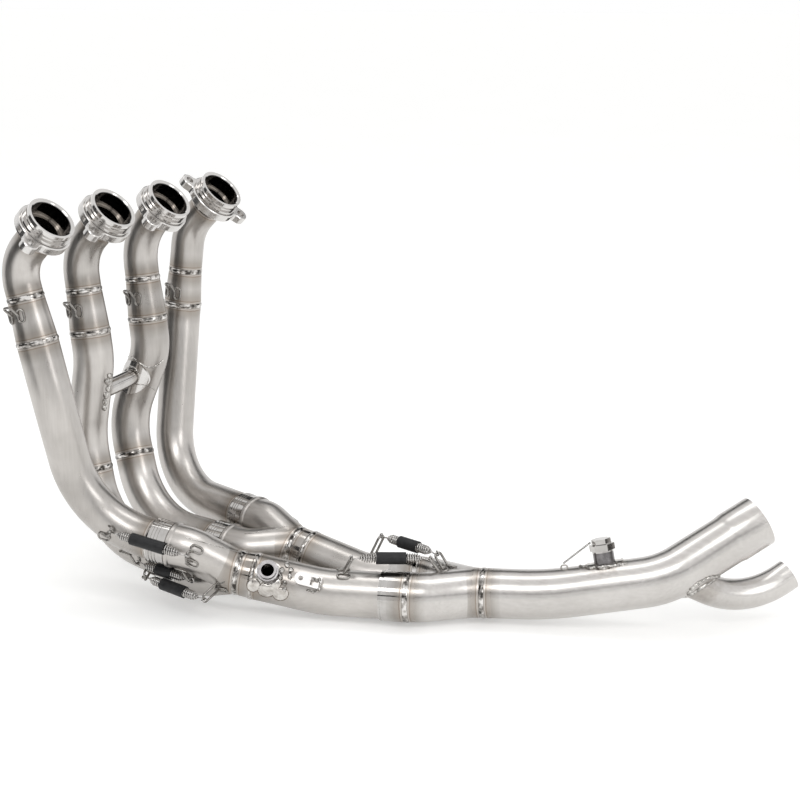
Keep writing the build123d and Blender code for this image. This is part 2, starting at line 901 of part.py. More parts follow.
def wire_anchor():
    radius = final_diameter / 2
    half = anchor_width / 2
    arch = [(-half, 0, 0), (-half, 0, radius + anchor_height), (half, 0, radius + anchor_height), (half, 0, 0)]
    body = rod([Vector(*point) for point in arch], [anchor_width / 3] * 2, anchor_wire)
    return wire_anchor_plane() * body - final_core(final_diameter)


def lock_wire():
    """Twisted pair from the anchor to the plug's head, as two strands."""
    anchor = wire_anchor_plane()
    above = lock_wire_diameter + anchor_wire / 2 + lock_wire_gap
    start = anchor.from_local_coords(Vector(0, 0, final_diameter / 2 + anchor_height + above))
    top = plug_seat() + washer_thickness + plug_flange_height + plug_head_height / 2
    reach = plug_head_across / 2 / cos(radians(30)) + lock_wire_diameter + lock_wire_gap
    end = plug_plane().from_local_coords(Vector(-reach, 0, top))
    length = (end - start).length
    place = Plane(start, z_dir=end - start)
    turn = length / lock_wire_turns
    line = Wire([Helix(turn, length, lock_wire_diameter / 2).edge()])
    section = Plane(line @ 0, z_dir=line % 0) * Circle(lock_wire_diameter / 2)
    strand = sweep(section, path=line, is_frenet=True)
    return place * (strand + Rot(0, 0, 180) * strand)


for number in range(4):
    save(f"port_ring_{number + 1}", port_ring(number))
    save(f"port_flange_{number + 1}", port_flange(number))
    save(f"top_bend_{number + 1}", top_bend(number))
    save(f"step_cone_{number + 1}", step_cone(number))
    save(f"down_tube_{number + 1}", down_tube(number))
    if third_weld[number] is not None:
        save(f"lower_bend_{number + 1}", lower_bend(number))
    save(f"slip_collar_{number + 1}", slip_collar(number))
save("crossover_tube", crossover_tube())
save("crossover_saddle", crossover_saddle())
save("near_merge", two_leg_merge(0, near_merge_end, near_secondary_corner))
save("far_merge", two_leg_merge(2, far_merge_end, far_secondary_corner))
save("near_reducer", reducer(near_merge_end, near_secondary_corner))
save("far_reducer", reducer(far_merge_end, far_secondary_corner))
save("near_secondary", near_secondary())
save("far_secondary", far_secondary())
save("near_inlet_socket", inlet_socket(near_socket_start))
save("far_inlet_socket", inlet_socket(far_socket_start))
save("collector", collector())
save("final_pipe", final_pipe())
save("branch_pipe", branch_pipe())
save("sensor_boss", sensor_boss())
save("sensor_pad", sensor_pad())
save("tab_bracket", tab_bracket())
save("plug_boss", plug_boss())
save("plug_pad", plug_pad())
save("plug_washer", plug_washer())
save("boss_plug", boss_plug())
save("wire_anchor", wire_anchor())
save("lock_wire", lock_wire())
save("upper_hooks", upper_hooks())
save("spring_hooks", spring_hooks())
for number in range(len(spring_lines)):
    save(f"spring_{number + 1}", spring(number))
save("spring_sleeves", Compound(children=[spring_sleeve(n).solid() for n in range(len(spring_lines))]))
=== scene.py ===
from math import cos, pi, radians, sin

import bpy
from mathutils import Euler, Matrix, Vector


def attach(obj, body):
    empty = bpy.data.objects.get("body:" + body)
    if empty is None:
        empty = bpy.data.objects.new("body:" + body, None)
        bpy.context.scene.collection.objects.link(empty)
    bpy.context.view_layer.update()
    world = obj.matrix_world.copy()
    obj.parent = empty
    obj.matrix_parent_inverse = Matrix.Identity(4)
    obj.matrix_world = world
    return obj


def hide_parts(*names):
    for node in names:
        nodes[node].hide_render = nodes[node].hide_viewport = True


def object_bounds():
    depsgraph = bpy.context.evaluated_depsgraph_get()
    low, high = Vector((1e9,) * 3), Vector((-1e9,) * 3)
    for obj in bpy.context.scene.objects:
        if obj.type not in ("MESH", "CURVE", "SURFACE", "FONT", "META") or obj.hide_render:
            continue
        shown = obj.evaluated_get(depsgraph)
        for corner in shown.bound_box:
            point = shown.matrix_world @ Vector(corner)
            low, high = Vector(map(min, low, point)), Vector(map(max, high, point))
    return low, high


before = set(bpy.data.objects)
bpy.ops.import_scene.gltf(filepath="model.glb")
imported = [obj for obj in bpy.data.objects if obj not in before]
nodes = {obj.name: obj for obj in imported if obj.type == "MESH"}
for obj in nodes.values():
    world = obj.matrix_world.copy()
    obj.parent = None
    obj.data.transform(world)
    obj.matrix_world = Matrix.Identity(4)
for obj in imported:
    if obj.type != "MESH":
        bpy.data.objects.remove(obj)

cadLow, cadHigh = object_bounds()
print("frame loaded with", len(nodes), "nodes")


# small helpers for shader nodes

def plug(tree, value, socket):
    if hasattr(value, "is_output"):
        tree.links.new(value, socket)
    else:
        socket.default_value = value


def mathNode(tree, operation, *values):
    node = tree.nodes.new("ShaderNodeMath")
    node.operation = operation
    for socket, value in zip(node.inputs, values):
        plug(tree, value, socket)
    return node.outputs[0]


def vectorNode(tree, operation, output, *values):
    node = tree.nodes.new("ShaderNodeVectorMath")
    node.operation = operation
    for socket, value in zip(node.inputs, values):
        plug(tree, value, socket)
    return node.outputs[output]


def noiseNode(tree, vector, scale, detail=2.0, roughness=0.5):
    node = tree.nodes.new("ShaderNodeTexNoise")
    node.inputs["Scale"].default_value = scale
    node.inputs["Detail"].default_value = detail
    node.inputs["Roughness"].default_value = roughness
    tree.links.new(vector, node.inputs["Vector"])
    return node.outputs["Fac"]


def mapNode(tree, vector, scale, turn):
    node = tree.nodes.new("ShaderNodeMapping")
    node.inputs["Rotation"].default_value = turn
    node.inputs["Scale"].default_value = scale
    tree.links.new(vector, node.inputs["Vector"])
    return node.outputs[0]


def rampNode(tree, factor, stops):
    node = tree.nodes.new("ShaderNodeValToRGB")
    elements = node.color_ramp.elements
    elements[0].position, elements[0].color = stops[0]
    elements[1].position, elements[1].color = stops[-1]
    for place, color in stops[1:-1]:
        elements.new(place).color = color
    tree.links.new(factor, node.inputs[0])
    return node.outputs["Color"], node.outputs["Alpha"]


def mixNode(tree, factor, first, second, blend="MIX"):
    node = tree.nodes.new("ShaderNodeMix")
    node.data_type = "RGBA"
    node.blend_type = blend
    plug(tree, factor, node.inputs["Factor"])
    plug(tree, first, node.inputs["A"])
    plug(tree, second, node.inputs["B"])
    return node.outputs["Result"]


noiseSpan = (0.3, 0.7)  # noise stays mostly between these


def rangeNode(tree, value, low, high):
    node = tree.nodes.new("ShaderNodeMapRange")
    tree.links.new(value, node.inputs["Value"])
    node.inputs["From Min"].default_value = noiseSpan[0]
    node.inputs["From Max"].default_value = noiseSpan[1]
    node.inputs["To Min"].default_value = low
    node.inputs["To Max"].default_value = high
    return node.outputs["Result"]


def bumpNode(tree, height, strength, distance):
    node = tree.nodes.new("ShaderNodeBump")
    node.inputs["Strength"].default_value = strength
    node.inputs["Distance"].default_value = distance
    tree.links.new(height, node.inputs["Height"])
    return node.outputs["Normal"]


def seenNode(tree):
    # 1 for rays from the camera, from gloss and through glass
    path = tree.nodes.new("ShaderNodeLightPath")
    seen = mathNode(tree, "ADD", path.outputs["Is Camera Ray"], path.outputs["Is Glossy Ray"])
    return mathNode(tree, "MINIMUM", mathNode(tree, "ADD", seen, path.outputs["Is Transmission Ray"]), 1.0)


def newMaterial(name):
    material = bpy.data.materials.new(name)
    material.use_nodes = True
    tree = material.node_tree
    position = tree.nodes.new("ShaderNodeTexCoord").outputs["Object"]
    return material, tree, tree.nodes["Principled BSDF"], position


# welds: where each ring weld lies and which way its tube runs, in metres

weldPlaces = {
    "ring1": ((-0.0187, 0, -0.0181), (0.719, 0, 0.695)),
    "first1": ((-0.0395, 0.0012, -0.0779), (0.240, 0.036, -0.970)),
    "second1": ((-0.0292, 0.0027, -0.1196), (0.240, 0.036, -0.970)),
    "collar1": ((0.0712, 0.0429, -0.3125), (0.965, 0.212, -0.154)),
    "ring2": ((-0.0187, 0.087, -0.0181), (0.719, 0, 0.695)),
    "first2": ((-0.0433, 0.087, -0.0842), (0.130, 0, -0.992)),
    "second2": ((-0.0378, 0.087, -0.1259), (0.130, 0, -0.992)),
    "third2": ((-0.0397, 0.0829, -0.2679), (0.244, -0.061, -0.968)),
    "collar2": ((0.0668, 0.0765, -0.3465), (0.984, -0.027, -0.179)),
    "ring3": ((-0.0187, 0.174, -0.0181), (0.719, 0, 0.695)),
    "first3": ((-0.0401, 0.174, -0.0848), (0.106, 0, -0.994)),
    "second3": ((-0.0357, 0.174, -0.1266), (0.106, 0, -0.994)),
    "third3": ((-0.0461, 0.1564, -0.2714), (0.332, -0.143, -0.932)),
    "collar3": ((0.0726, 0.1385, -0.3423), (0.996, -0.079, -0.035)),
    "ring4": ((-0.0187, 0.261, -0.0181), (0.719, 0, 0.695)),
    "first4": ((-0.0497, 0.258, -0.0895), (-0.095, -0.066, -0.993)),
    "second4": ((-0.0532, 0.2555, -0.1262), (-0.095, -0.066, -0.993)),
    "collar4": ((0.0730, 0.1849, -0.3254), (0.973, -0.227, -0.032)),
    "nearOutlet": ((0.1440, 0.0806, -0.3448), (0.920, 0.353, -0.172)),
    "nearReducer": ((0.1578, 0.0859, -0.3474), (0.920, 0.353, -0.172)),
    "farOutlet": ((0.1550, 0.1630, -0.3425), (0.975, 0.056, -0.214)),
    "farReducer": ((0.1696, 0.1638, -0.3457), (0.975, 0.056, -0.214)),
    "nearSocket": ((0.2994, 0.1389, -0.3590), (0.940, 0.342, 0)),
    "farSocket": ((0.2826, 0.1851, -0.3600), (0.940, 0.342, 0)),
    "collectorOut": ((0.3570, 0.1840, -0.3585), (0.938, 0.346, 0.032)),
    "branchJoin": ((0.5270, 0.2540, -0.3320), (0.598, 0.657, -0.459)),
}
nodeWelds = {
    "near_merge": ["nearOutlet"],
    "far_merge": ["farOutlet"],
    "near_reducer": ["nearOutlet"],
    "far_reducer": ["farOutlet"],
    "near_secondary": ["nearReducer"],
    "far_secondary": ["farReducer"],
    "near_inlet_socket": ["nearSocket"],
    "far_inlet_socket": ["farSocket"],
    "collector": ["nearSocket", "farSocket", "collectorOut"],
    "final_pipe": ["collectorOut"],
    "branch_pipe": ["branchJoin"],
}
for number in "1234":
    third = ["third" + number] if number in "23" else ["collar" + number]
    nodeWelds["port_ring_" + number] = ["ring" + number]
    nodeWelds["top_bend_" + number] = ["ring" + number, "first" + number]
    nodeWelds["step_cone_" + number] = ["first" + number, "second" + number]
    nodeWelds["down_tube_" + number] = ["second" + number] + third
    if number in "23":
        nodeWelds["lower_bend_" + number] = ["third" + number, "collar" + number]


# metal finishes

weldLook = {
    "reach": 0.020,  # the tint fades out this far from the bead's middle
    "bead": 0.115,  # half the bead's width, as a share of the reach
    "ripple": 260,  # noise that makes the edges wander
    "wander": 0.04,  # by this share of the reach in all
    "patch": 170,  # painted reflection: bright and dark patches along the bead
    "paintedGlintStops": [
        (0.36, (0.06, 0.055, 0.05, 1)),
        (0.50, (0.38, 0.36, 0.34, 1)),
        (0.64, (0.72, 0.70, 0.68, 1)),
    ],
    "sphere": 0.030,  # farther from the bead's middle nothing is tinted
    "stops": [
        (0.0, (0.58, 0.565, 0.545, 1)),
        (0.110, (0.58, 0.565, 0.545, 1)),
        (0.125, (0.10, 0.078, 0.058, 0.85)),
        (0.145, (0.34, 0.30, 0.26, 0.6)),
        (0.205, (0.44, 0.395, 0.35, 0.5)),
        (0.225, (0.15, 0.10, 0.065, 0.8)),
        (0.250, (0.20, 0.15, 0.11, 0.7)),
        (0.290, (0.27, 0.23, 0.19, 0.62)),
        (0.50, (0.26, 0.23, 0.20, 0.56)),
        (1.0, (0.32, 0.30, 0.28, 0)),
    ],
    "roughStops": [
        (0.0, (0.09, 0.09, 0.09, 1)),
        (0.105, (0.11, 0.11, 0.11, 1)),
        (0.130, (0.30, 0.30, 0.30, 0.6)),
        (0.235, (0.36, 0.36, 0.36, 0.7)),
        (0.5, (0.34, 0.34, 0.34, 0)),
    ],
}


def weldDistance(tree, position, names):
    nearest = None
    for name in names:
        place, axis = weldPlaces[name]
        offset = vectorNode(tree, "SUBTRACT", "Vector", position, place)
        along = mathNode(tree, "ABSOLUTE", vectorNode(tree, "DOT_PRODUCT", "Value", offset, axis))
        length = vectorNode(tree, "LENGTH", "Value", offset)
        outside = mathNode(tree, "GREATER_THAN", length, weldLook["sphere"])
        distance = mathNode(tree, "ADD", along, outside)
        if nearest is None:
            nearest = distance
        else:
            nearest = mathNode(tree, "MINIMUM", nearest, distance)
    return mathNode(tree, "DIVIDE", nearest, weldLook["reach"])


tubeFinish = {
    "light": (0.62, 0.595, 0.57, 1), "dark": (0.40, 0.38, 0.36, 1),
    "rough": (0.26, 0.33), "patches": 9, "bump": 0.03,
}
rearPipeFinish = {
    "light": (0.66, 0.64, 0.62, 1), "dark": (0.54, 0.52, 0.50, 1),
    "rough": (0.23, 0.28), "patches": 9, "bump": 0.02,
}
turnedFinish = {
    "light": (0.72, 0.705, 0.69, 1), "dark": (0.60, 0.585, 0.57, 1),
    "rough": (0.11, 0.13), "patches": 12, "bump": 0.003,
}
socketFinish = {
    "light": (0.60, 0.585, 0.57, 1), "dark": (0.44, 0.425, 0.41, 1),
    "rough": (0.07, 0.10), "patches": 60, "bump": 0.004,
}
flangeFinish = {
    "light": (0.74, 0.725, 0.71, 1), "dark": (0.62, 0.605, 0.59, 1),
    "rough": (0.22, 0.25), "patches": 14, "bump": 0.008,
}
fittingFinish = {
    "light": (0.58, 0.555, 0.53, 1), "dark": (0.34, 0.32, 0.30, 1),
    "rough": (0.10, 0.20), "patches": 120, "bump": 0.06,
}
bossFinish = {
    "light": (0.26, 0.25, 0.255, 1), "dark": (0.12, 0.115, 0.115, 1),
    "rough": (0.16, 0.26), "patches": 160, "bump": 0.05,
}
padFinish = {
    "light": (0.78, 0.76, 0.73, 1), "dark": (0.42, 0.39, 0.36, 1),
    "rough": (0.08, 0.16), "patches": 150, "bump": 0.10,
}
hookFinish = {
    "light": (0.42, 0.405, 0.385, 1), "dark": (0.18, 0.17, 0.16, 1),
    "rough": (0.10, 0.18), "patches": 150, "bump": 0.05,
}
tabFinish = {
    "light": (0.72, 0.71, 0.70, 1), "dark": (0.64, 0.625, 0.61, 1),
    "rough": (0.28, 0.36), "patches": 60, "bump": 0.04,
}
wireFinish = {
    "light": (0.64, 0.625, 0.61, 1), "dark": (0.34, 0.33, 0.32, 1),
    "rough": (0.10, 0.18), "patches": 160, "bump": 0.03,
}
upright = {"scale": (420, 420, 14), "turn": (0, 0, 0)}
rearward = {"scale": (14, 420, 420), "turn": (0, 0, radians(-20))}
portAxis = (0.7193, 0, 0.6947)
boreLook = {
    "color": (0.19, 0.186, 0.183, 1), "pitch": 0.087,
    "mouth": 0.0204, "tube": 0.0169,  # within these radii of the port's axis the metal is painted dark: soot, and painted shade in the bore
    "step": 0.0170, "lip": 0.0008,  # how deep the tube starts in the mouth, and half its bright lip
    "depth": 0.042,  # the bend starts here
}


# heat and grinding marks: the middle and the reach of each, on the tube that carries it

scorchLook = {
    "lumps": (190, 3.0, 0.6),  # scale, detail and roughness of the noise, here and below
    "ragged": 0.6,  # how far the edge wanders in all, as a share of the reach
    "stops": [(0.30, (0.17, 0.145, 0.125, 0.62)), (0.62, (0.27, 0.235, 0.205, 0.45)),
              (1.0, (0.36, 0.33, 0.30, 0))],
}
scorches = {
    "near_secondary": [((0.1811, 0.0758, -0.3365), 0.034)],
    "near_reducer": [((0.1811, 0.0758, -0.3365), 0.034)],
    "final_pipe": [((0.4629, 0.2269, -0.3213), 0.026), ((0.540, 0.268, -0.342), 0.026)],
    "branch_pipe": [((0.540, 0.268, -0.342), 0.026)],
    "down_tube_2": [((-0.0406, 0.106, -0.191), 0.022)],
    "down_tube_3": [((-0.0404, 0.1504, -0.186), 0.026)],
    "crossover_tube": [((-0.0406, 0.106, -0.191), 0.012), ((-0.0404, 0.1504, -0.186), 0.014)],
}


def scorchTone(tree, position, color, marks):
    lumps = noiseNode(tree, position, *scorchLook["lumps"])
    for place, reach in marks:
        offset = vectorNode(tree, "SUBTRACT", "Vector", position, place)
        share = mathNode(tree, "DIVIDE", vectorNode(tree, "LENGTH", "Value", offset), reach)
        wander = mathNode(tree, "MULTIPLY_ADD", lumps, scorchLook["ragged"], -scorchLook["ragged"] / 2)
        share = mathNode(tree, "ADD", share, wander)
        tone, cover = rampNode(tree, share, scorchLook["stops"])
        color = mixNode(tree, cover, color, tone)
    return color


metalLook = {
    "patches": (4.0, 0.6),  # broad patches between the light and the dark tone, scaled by the finish
    "lathe": (2600, 2.0, 0.7),  # marks that run round an axis
    "brush": (1.0, 3.0, 0.6),  # marks that run along a tube, scaled by its lay
    "streakStops": [(0.3, (0.91, 0.905, 0.90, 1)), (0.7, (1, 1, 1, 1))],
    "streakShare": 0.5,  # how much of the roughness follows the marks, the rest follows the patches
    "grain": 2600, "streakHeight": 0.6, "relief": 0.0004,
}


def streakNode(tree, position, lay):
    if "axis" in lay:
        spun = vectorNode(tree, "PROJECT", "Vector", position, lay["axis"])
        return noiseNode(tree, spun, *metalLook["lathe"])
    return noiseNode(tree, mapNode(tree, position, lay["scale"], lay["turn"]), *metalLook["brush"])


# darkens the bores of the port rings and top bends: soot, and painted shade inside the hollow
def boreSootAndShadeMask(tree, position, number, radius):
    mouth = (0, boreLook["pitch"] * (number - 1), 0)
    offset = vectorNode(tree, "SUBTRACT", "Vector", mouth, position)
    spoke = vectorNode(tree, "CROSS_PRODUCT", "Vector", offset, portAxis)
    across = vectorNode(tree, "LENGTH", "Value", spoke)
    depth = vectorNode(tree, "DOT_PRODUCT", "Value", offset, portAxis)
    fromLip = mathNode(tree, "ABSOLUTE", mathNode(tree, "SUBTRACT", depth, boreLook["step"]))
    inside = mathNode(tree, "MULTIPLY", mathNode(tree, "LESS_THAN", across, radius),
                      mathNode(tree, "LESS_THAN", depth, boreLook["depth"]))
    return mathNode(tree, "MULTIPLY", inside, mathNode(tree, "GREATER_THAN", fromLip, boreLook["lip"]))


def metalMaterial(name, finish, lay=rearward, welds=(), port=0, marks=()):
    material, tree, shader, position = newMaterial(name)
    shader.inputs["Metallic"].default_value = 1.0
    patches = noiseNode(tree, position, finish["patches"], *metalLook["patches"])
    streaks = streakNode(tree, position, lay)
    grain = noiseNode(tree, position, metalLook["grain"])
    color = mixNode(tree, rangeNode(tree, patches, 0, 1), finish["dark"], finish["light"])
    streakTone = rampNode(tree, streaks, metalLook["streakStops"])[0]
    color = mixNode(tree, 1.0, color, streakTone, "MULTIPLY")
    if port:
        radius = boreLook["mouth"] if name.startswith("port_ring") else boreLook["tube"]
        # the bore is darkened: soot, and painted shade
        color = mixNode(tree, boreSootAndShadeMask(tree, position, port, radius), color, boreLook["color"])
    if marks:
        color = scorchTone(tree, position, color, marks)
    share = mathNode(tree, "MULTIPLY", patches, 1 - metalLook["streakShare"])
    share = mathNode(tree, "MULTIPLY_ADD", streaks, metalLook["streakShare"], share)
    rough = rangeNode(tree, share, *finish["rough"])
    if welds:
        ripple = noiseNode(tree, position, weldLook["ripple"])
        distance = weldDistance(tree, position, welds)
        share = mathNode(tree, "MULTIPLY_ADD", ripple, weldLook["wander"], distance)
        share = mathNode(tree, "SUBTRACT", share, weldLook["wander"] / 2)
        tint, cover = rampNode(tree, share, weldLook["stops"])
        color = mixNode(tree, cover, color, tint)
        # painted reflection: the polished bead's colour gets bright and dark patches
        paintedBeadGlint = rampNode(tree, noiseNode(tree, position, weldLook["patch"]), weldLook["paintedGlintStops"])[0]
        color = mixNode(tree, mathNode(tree, "LESS_THAN", share, weldLook["bead"]), color, paintedBeadGlint)
        tintRough, roughCover = rampNode(tree, share, weldLook["roughStops"])
        rough = mixNode(tree, roughCover, rough, tintRough)
    tree.links.new(color, shader.inputs["Base Color"])
    tree.links.new(rough, shader.inputs["Roughness"])
    height = mathNode(tree, "MULTIPLY_ADD", streaks, metalLook["streakHeight"], grain)
    tree.links.new(bumpNode(tree, height, finish["bump"], metalLook["relief"]), shader.inputs["Normal"])
    return material


rubberLook = {
    "light": (0.026, 0.026, 0.027, 1), "dark": (0.008, 0.008, 0.009, 1), "gloss": 0.3,
    "dust": (150, 4.0, 0.7),
    "rough": (0.40, 0.6), "bump": 0.2, "relief": 0.0003,
}


def rubberMaterial():
    material, tree, shader, position = newMaterial("sleeveRubber")
    dust = noiseNode(tree, position, *rubberLook["dust"])
    color = mixNode(tree, rangeNode(tree, dust, 0, 1), rubberLook["dark"], rubberLook["light"])
    tree.links.new(color, shader.inputs["Base Color"])
    shader.inputs["Specular IOR Level"].default_value = rubberLook["gloss"]
    tree.links.new(rangeNode(tree, dust, *rubberLook["rough"]), shader.inputs["Roughness"])
    relief = bumpNode(tree, dust, rubberLook["bump"], rubberLook["relief"])
    tree.links.new(relief, shader.inputs["Normal"])
    return material


print("dressing the CAD nodes")
families = [
    (("port_ring", "crossover_saddle"), turnedFinish),
    (("slip_collar", "near_inlet", "far_inlet", "near_reducer", "far_reducer",
      "plug_washer", "boss_plug", "crossover_tube"), socketFinish),
    (("final_pipe", "branch_pipe", "collector"), rearPipeFinish),
    (("sensor_boss", "plug_boss"), bossFinish),
    (("tab_bracket",), tabFinish),
    (("port_flange",), flangeFinish),
    (("sensor_pad", "plug_pad"), padFinish),
    (("upper_hooks", "spring_hooks"), hookFinish),
    (("wire_anchor",), fittingFinish),
    (("lock_wire", "spring_"), wireFinish),
]
uprightNodes = ("top_bend", "step_cone", "down_tube", "lower_bend")
smoothing = {"merge": 0.00001, "crease": 28}  # metres and degrees
sleeveMaterial = rubberMaterial()
for name, node in nodes.items():
    finish = next((look for heads, look in families if name.startswith(heads)), tubeFinish)
    lay = upright if name.startswith(uprightNodes) else rearward
    if name.startswith("port_"):
        lay = {"axis": portAxis}
    if name.startswith("slip_collar"):
        lay = {"axis": weldPlaces["collar" + name[-1]][1]}
    if name.endswith("socket"):
        lay = {"axis": weldPlaces[nodeWelds[name][0]][1]}
    port = int(name[-1]) if name.startswith(("port_ring", "top_bend")) else 0
    node.data.materials.clear()
    if name == "spring_sleeves":
        node.data.materials.append(sleeveMaterial)
    else:
        welds, marks = nodeWelds.get(name, ()), scorches.get(name, ())
        node.data.materials.append(metalMaterial(name + "Metal", finish, lay, welds, port, marks))
    node.data.polygons.foreach_set("use_smooth", [True] * len(node.data.polygons))
    weld = node.modifiers.new("joinFaces", "WELD")
    weld.merge_threshold = smoothing["merge"]
    split = node.modifiers.new("crispEdges", "EDGE_SPLIT")
    split.split_angle = radians(smoothing["crease"])


# springs: a wound coil with tapered ends and a hook at each side

springShape = {
    "wire": 0.0015, "coil": 0.0094, "pitch": 0.0023, "shank": 0.013, "taper": 0.006,
    "hook": 0.0023, "eye": 0.005, "pointsPerTurn": 20,
    "hookPoints": 14, "hookStart": 300, "hookStep": 21,  # the hook's arc, in degrees
    "lean": 0.0006, "rise": 0.001,  # of the straight wire between the hook and the coil
    "tip": 0.12, "swell": 0.8,  # how narrow the coil starts and how it widens
}
springPlaces = [  # the two ends and the way that the hook's bar runs
    ((0.044, 0.0093, -0.2995), (0.123, 0.025, -0.314), (-0.0867, -0.4046, -0.9104)),
    ((0.048, 0.044, -0.341), (0.112, 0.0455, -0.3476), (-0.0234, 0.9997, 0)),
    ((0.060, 0.038, -0.3515), (0.134, 0.035, -0.3592), (-0.0877, 0.2862, -0.9541)),
    ((0.042, 0.141, -0.372), (0.118, 0.140, -0.373), (0.0132, 0.9999, 0)),
    ((0.052, 0.221, -0.3244), (0.128, 0.200, -0.331), (0.0865, 0, 0.9963)),
    ((0.2497, 0.1168, -0.3217), (0.312, 0.158, -0.3235), (0.5516, -0.8341, 0)),
    ((0.2449, 0.1804, -0.3194), (0.313, 0.170, -0.322), (-0.1510, -0.9885, 0)),
]


def springHook():
    points = []
    hook = springShape["hook"]
    for step in range(springShape["hookPoints"]):
        angle = radians(springShape["hookStart"] - step * springShape["hookStep"])
        points.append(Vector((0, hook * sin(angle), hook * cos(angle))))
    points.append(Vector((0, springShape["lean"], springShape["eye"])))
    points.append(Vector((0, 0, springShape["shank"] - springShape["taper"] - springShape["rise"])))
    return points


def springLine(length):
    mean = (springShape["coil"] - springShape["wire"]) / 2
    start = springShape["shank"] - springShape["taper"]
    coil = length - 2 * start
    count = int(coil / springShape["pitch"]) * springShape["pointsPerTurn"]
    points = springHook()
    for step in range(count + 1):
        share = step / count
        rise = coil * share
        edge = min(rise, coil - rise) / springShape["taper"]
        swell = (1 - springShape["tip"]) * edge ** springShape["swell"]
        radius = mean * min(1.0, springShape["tip"] + swell)
        turn = 2 * pi * step / springShape["pointsPerTurn"]
        points.append(Vector((radius * cos(turn), radius * sin(turn), start + rise)))
    farHook = [Vector((-point.x, point.y, length - point.z)) for point in springHook()]
    return points + farHook[::-1]


wireRoundness = 2


def makeWire(name, points, thickness, closed=False):
    bpy.ops.object.select_all(action="DESELECT")
    bpy.ops.curve.primitive_nurbs_path_add(location=(0, 0, 0))
    wire = bpy.context.object
    wire.name = name
    curve = wire.data
    curve.splines.clear()
    spline = curve.splines.new("POLY")
    spline.points.add(len(points) - 1)
    for point, place in zip(spline.points, points):
        point.co = (*place, 1)
    spline.use_cyclic_u = closed
    curve.bevel_depth = thickness / 2
    curve.bevel_resolution = wireRoundness
    curve.use_fill_caps = not closed
    bpy.ops.object.convert(target="MESH")
    bpy.ops.object.shade_smooth()
    return wire


def makeSpring(number, start, end, bar):
    start, end, bar = Vector(start), Vector(end), Vector(bar).normalized()
    flow = (end - start).normalized()
    turn = Matrix((bar, flow.cross(bar), flow)).transposed()
    points = [start + turn @ point for point in springLine((end - start).length)]
    spring = makeWire("wound_spring_" + str(number), points, springShape["wire"])
    spring.data.materials.append(springMetal)
    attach(spring, "root")
    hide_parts("spring_" + str(number))


springMetal = metalMaterial("springMetal", wireFinish)
for number, place in enumerate(springPlaces, 1):
    makeSpring(number, *place)
print("springs wound")


# weld beads round the bosses, the crossover and the branch

beads = {
    "sensor_bead": {"on": "near_secondary", "at": (0.1729, 0.0909, -0.3501),
                    "axis": (0.381, -0.698, 0.606), "radius": 0.0108, "size": 0.0026},
    "plug_bead": {"on": "final_pipe", "at": (0.4688, 0.2249, -0.3445),
                  "axis": (-0.245, 0.078, 0.967), "radius": 0.0103, "size": 0.0020},
    "saddle_bead": {"on": "crossover_saddle", "at": (-0.0404, 0.170, -0.184),
                    "axis": (0, -1, 0), "radius": 0.0090, "size": 0.0020},
    "crossover_bead": {"on": "down_tube_2", "at": (-0.0407, 0.086, -0.193),
                       "axis": (0, 1, 0), "radius": 0.0090, "size": 0.0024},
    "branch_bead": {"on": "final_pipe", "at": (0.5270, 0.2540, -0.3320),
                    "axis": (0.598, 0.657, -0.459), "radius": 0.0155, "size": 0.0042},
}
beadShape = {
    "steps": 90, "lead": 0.05,  # points round the bead, each cast from this far off
    "ragged": 0.0012, "grain": 0.0022,
}


def makeBead(name, bead):
    node = nodes[bead["on"]]
    middle, axis = Vector(bead["at"]), Vector(bead["axis"]).normalized()
    side = axis.orthogonal().normalized()
    other = axis.cross(side)
    points = []
    for step in range(beadShape["steps"]):
        angle = 2 * pi * step / beadShape["steps"]
        spoke = (side * cos(angle) + other * sin(angle)) * bead["radius"]
        found, place = node.ray_cast(middle + spoke + axis * beadShape["lead"], -axis)[:2]
        if found:
            points.append(place)
    piece = makeWire(name, points, bead["size"], closed=True)
    roughen(piece, beadShape["ragged"], beadMetal)


def roughen(piece, strength, metal):
    texture = bpy.data.textures.new(piece.name + "Lumps", "CLOUDS")
    texture.noise_scale = beadShape["grain"]
    lumps = piece.modifiers.new("lumps", "DISPLACE")
    lumps.texture = texture
    lumps.texture_coords = "GLOBAL"
    lumps.strength = strength
    bpy.ops.object.modifier_apply(modifier="lumps")
    piece.data.materials.append(metal)
    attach(piece, "root")


# painted reflection: the beads' near-black and near-white patches stand for what the polished weld metal
# mirrors
beadPaintedGlintLook = {
    "light": (0.80, 0.78, 0.75, 1), "dark": (0.10, 0.09, 0.08, 1),
    "rough": (0.06, 0.14), "patches": 330, "bump": 0.10,
}
beadMetal = metalMaterial("beadMetal", beadPaintedGlintLook)
scorchedFinish = {
    "light": (0.34, 0.29, 0.24, 1), "dark": (0.07, 0.055, 0.045, 1),
    "rough": (0.16, 0.28), "patches": 260, "bump": 0.08,
}
scorchedMetal = metalMaterial("scorchedMetal", scorchedFinish)
for name, bead in beads.items():
    makeBead(name, bead)
print("weld beads laid")


# seams and small welds: each line is in the photo's pixels and is laid on the tube that carries it

